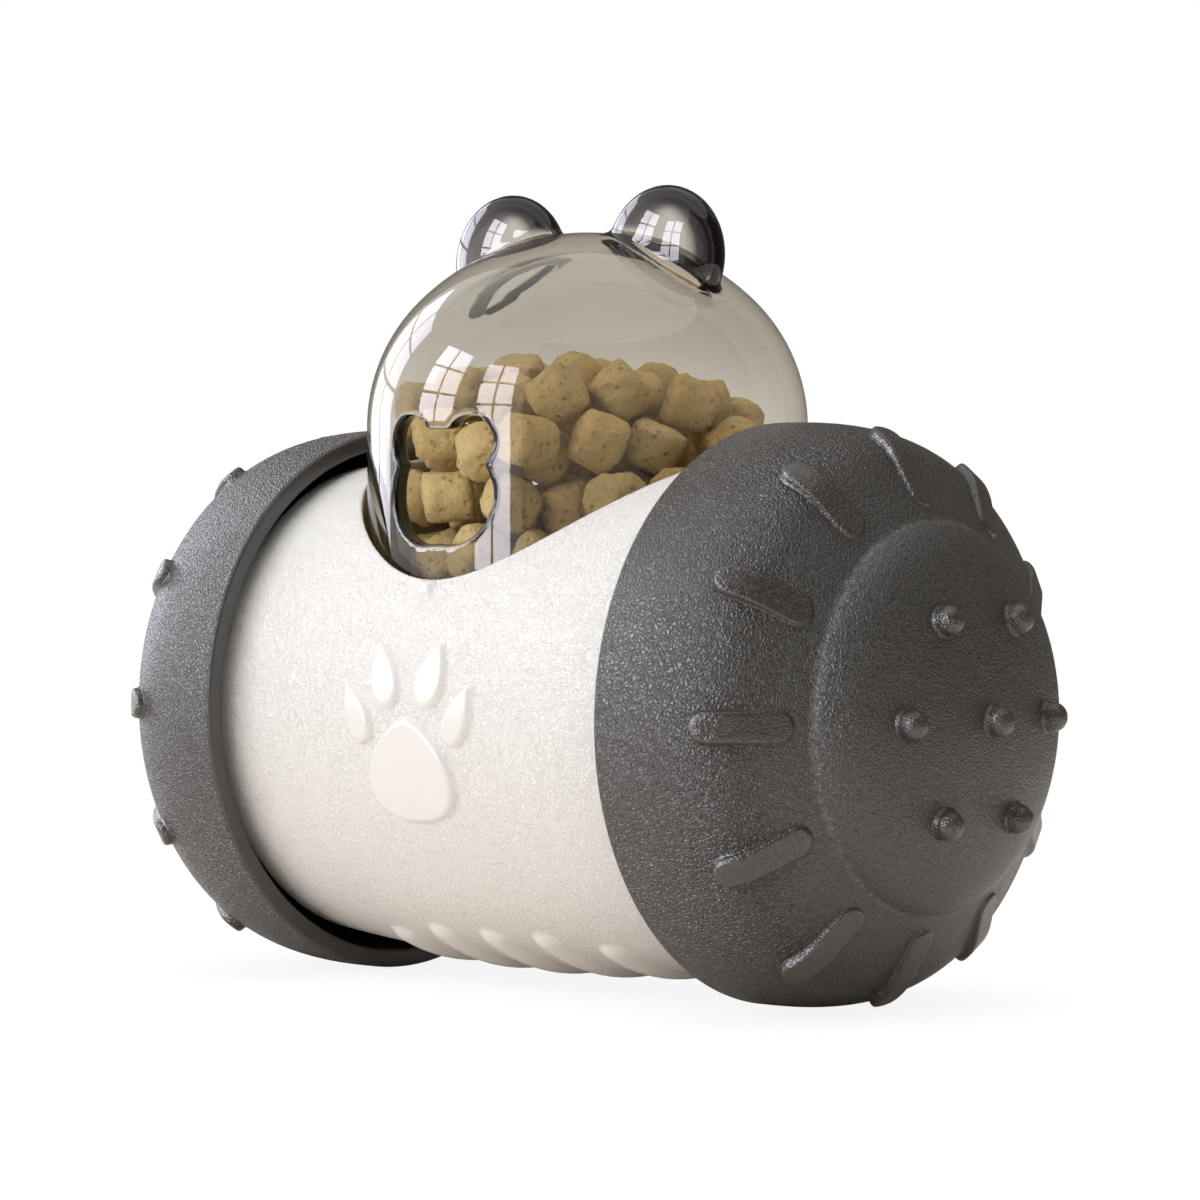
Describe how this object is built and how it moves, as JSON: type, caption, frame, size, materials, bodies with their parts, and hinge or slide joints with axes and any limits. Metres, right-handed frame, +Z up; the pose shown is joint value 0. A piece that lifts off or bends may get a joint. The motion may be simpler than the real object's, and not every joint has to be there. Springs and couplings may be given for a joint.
{
  "type": "treat dispensing wobble toy",
  "caption": "Rolling treat dispenser: a weighted barrel between two bell wheels, with a swivelling, lift-off clear head that holds kibble and lets it out through a shaped opening.",
  "frame": {"origin": "on the floor under the middle of the barrel, between the two wheels", "axes": "+X along the axle towards the right wheel, -Y towards the paw print and the treat outlet, +Z up"},
  "size_m": [0.157, 0.084, 0.1195],
  "materials": {
    "barrel_white": "satin",
    "inner_white": "satin",
    "wheel_charcoal": "satin",
    "core_black": "matte",
    "screw_steel": "satin",
    "weight_iron": "matte",
    "bearing_ivory": "satin",
    "seal_grey": "matte",
    "dome_smoke": "gloss",
    "kibble_tan": "matte"
  },
  "bodies": {
    "barrel": {"barrel": "barrel_white", "left_end_plate": "inner_white", "right_end_plate": "inner_white", "left_end_screws": "screw_steel", "right_end_screws": "screw_steel", "left_bush": "bearing_ivory", "right_bush": "bearing_ivory", "counterweight": "weight_iron", "weight_cover": "inner_white", "weight_cover_screws": "screw_steel", "bridge": "inner_white", "bridge_screws": "screw_steel", "pivot_washer": "screw_steel", "pivot_screw": "screw_steel"},
    "left_wheel": {"left_wheel_shell": "wheel_charcoal", "left_wheel_core": "core_black", "left_axle_washer": "screw_steel", "left_axle_screw": "screw_steel"},
    "right_wheel": {"right_wheel_shell": "wheel_charcoal", "right_wheel_core": "core_black", "right_axle_washer": "screw_steel", "right_axle_screw": "screw_steel"},
    "hopper": {"hopper": "inner_white", "seal_ring": "seal_grey", "kibble": "kibble_tan"},
    "dome": {"dome": "dome_smoke"}
  },
  "joints": [
    {"name": "left_wheel_spin", "type": "hinge", "parent": "barrel", "child": "left_wheel", "pos_m": [-0.05, 0, 0.042], "axis": [1, 0, 0], "continuous": true},
    {"name": "right_wheel_spin", "type": "hinge", "parent": "barrel", "child": "right_wheel", "pos_m": [0.05, 0, 0.042], "axis": [1, 0, 0], "continuous": true},
    {"name": "head_turn", "type": "hinge", "parent": "barrel", "child": "hopper", "pos_m": [0, 0, 0.052], "axis": [0, 0, 1], "continuous": true},
    {"name": "dome_lift", "type": "slide", "parent": "hopper", "child": "dome", "axis": [0, 0, 1], "range_m": [0, 0.065]}
  ]
}
